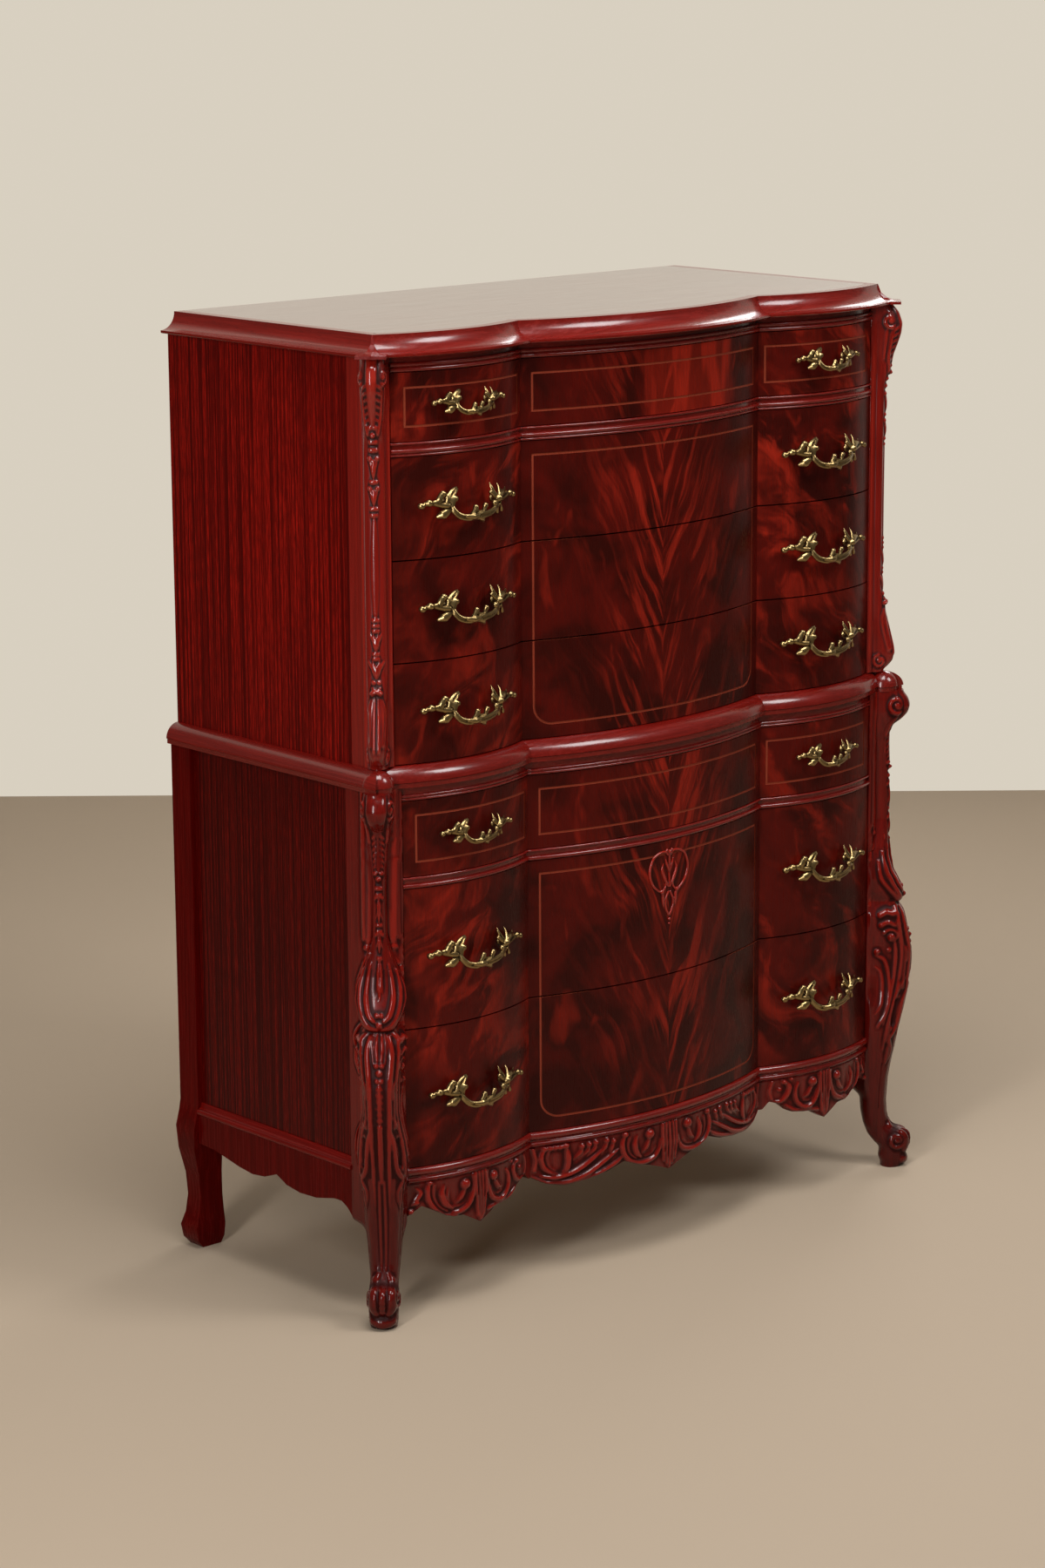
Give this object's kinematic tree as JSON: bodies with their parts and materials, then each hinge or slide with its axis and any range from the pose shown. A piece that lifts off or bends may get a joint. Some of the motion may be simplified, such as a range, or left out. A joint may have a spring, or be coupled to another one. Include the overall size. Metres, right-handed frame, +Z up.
{
  "type": "tall chest of drawers",
  "caption": "Tall chest on chest with a serpentine front, full-width drawers, carved corner posts, moulded cornice and waist, and cabriole feet.",
  "frame": {"origin": "on the floor under the middle of the chest's box", "axes": "+Z up, drawers open towards -Y, +X to the right of someone who faces the drawers"},
  "size_m": [1.078, 0.5024, 1.35],
  "materials": {
    "moulding_mahogany": "red mahogany mouldings, French polished",
    "panel_mahogany": "ribbon-stripe mahogany veneer, French polished",
    "carved_mahogany": "carved solid mahogany, polished, darker in the hollows",
    "secondary_wood": "plain pale secondary wood, unpolished",
    "flame_veneer": "flame-figured crotch mahogany veneer, French polished",
    "antique_brass": "cast brass, aged gold lacquer"
  },
  "bodies": {
    "root": {"cornice_front": "moulding_mahogany", "cornice_sides": "moulding_mahogany", "waist_moulding_front": "moulding_mahogany", "waist_moulding_sides": "moulding_mahogany", "upper_top_rail": "moulding_mahogany", "upper_mid_rail": "moulding_mahogany", "lower_top_rail": "moulding_mahogany", "lower_mid_rail": "moulding_mahogany", "lower_base_rail": "moulding_mahogany", "top_board": "panel_mahogany", "lower_top_board": "secondary_wood", "upper_bottom_board": "secondary_wood", "upper_side_panels": "panel_mahogany", "upper_back_panel": "secondary_wood", "lower_side_panels": "panel_mahogany", "lower_back_panel": "secondary_wood", "lower_bottom_board": "secondary_wood", "upper_front_posts": "carved_mahogany", "front_legs": "carved_mahogany", "rear_legs": "carved_mahogany", "front_apron": "carved_mahogany", "side_aprons": "panel_mahogany", "upper_runners": "secondary_wood", "lower_runners": "secondary_wood", "drawer_stops": "secondary_wood"},
    "drawer_1": {"drawer_1_front": "flame_veneer", "drawer_1_pulls": "antique_brass", "drawer_1_sides": "secondary_wood", "drawer_1_back": "secondary_wood", "drawer_1_bottom": "secondary_wood"},
    "drawer_2": {"drawer_2_front": "flame_veneer", "drawer_2_pulls": "antique_brass", "drawer_2_sides": "secondary_wood", "drawer_2_back": "secondary_wood", "drawer_2_bottom": "secondary_wood"},
    "drawer_3": {"drawer_3_front": "flame_veneer", "drawer_3_pulls": "antique_brass", "drawer_3_sides": "secondary_wood", "drawer_3_back": "secondary_wood", "drawer_3_bottom": "secondary_wood"},
    "drawer_4": {"drawer_4_front": "flame_veneer", "drawer_4_pulls": "antique_brass", "drawer_4_sides": "secondary_wood", "drawer_4_back": "secondary_wood", "drawer_4_bottom": "secondary_wood"},
    "drawer_5": {"drawer_5_front": "flame_veneer", "drawer_5_pulls": "antique_brass", "drawer_5_sides": "secondary_wood", "drawer_5_back": "secondary_wood", "drawer_5_bottom": "secondary_wood"},
    "drawer_6": {"drawer_6_front": "flame_veneer", "drawer_6_pulls": "antique_brass", "drawer_6_sides": "secondary_wood", "drawer_6_back": "secondary_wood", "drawer_6_bottom": "secondary_wood"},
    "drawer_7": {"drawer_7_front": "flame_veneer", "drawer_7_pulls": "antique_brass", "drawer_7_sides": "secondary_wood", "drawer_7_back": "secondary_wood", "drawer_7_bottom": "secondary_wood"}
  },
  "joints": [
    {"name": "drawer_1_slide", "type": "slide", "parent": "root", "child": "drawer_1", "axis": [0, -1, 0], "range_m": [0, 0.32]},
    {"name": "drawer_2_slide", "type": "slide", "parent": "root", "child": "drawer_2", "axis": [0, -1, 0], "range_m": [0, 0.32]},
    {"name": "drawer_3_slide", "type": "slide", "parent": "root", "child": "drawer_3", "axis": [0, -1, 0], "range_m": [0, 0.32]},
    {"name": "drawer_4_slide", "type": "slide", "parent": "root", "child": "drawer_4", "axis": [0, -1, 0], "range_m": [0, 0.32]},
    {"name": "drawer_5_slide", "type": "slide", "parent": "root", "child": "drawer_5", "axis": [0, -1, 0], "range_m": [0, 0.32]},
    {"name": "drawer_6_slide", "type": "slide", "parent": "root", "child": "drawer_6", "axis": [0, -1, 0], "range_m": [0, 0.32]},
    {"name": "drawer_7_slide", "type": "slide", "parent": "root", "child": "drawer_7", "axis": [0, -1, 0], "range_m": [0, 0.32]}
  ]
}
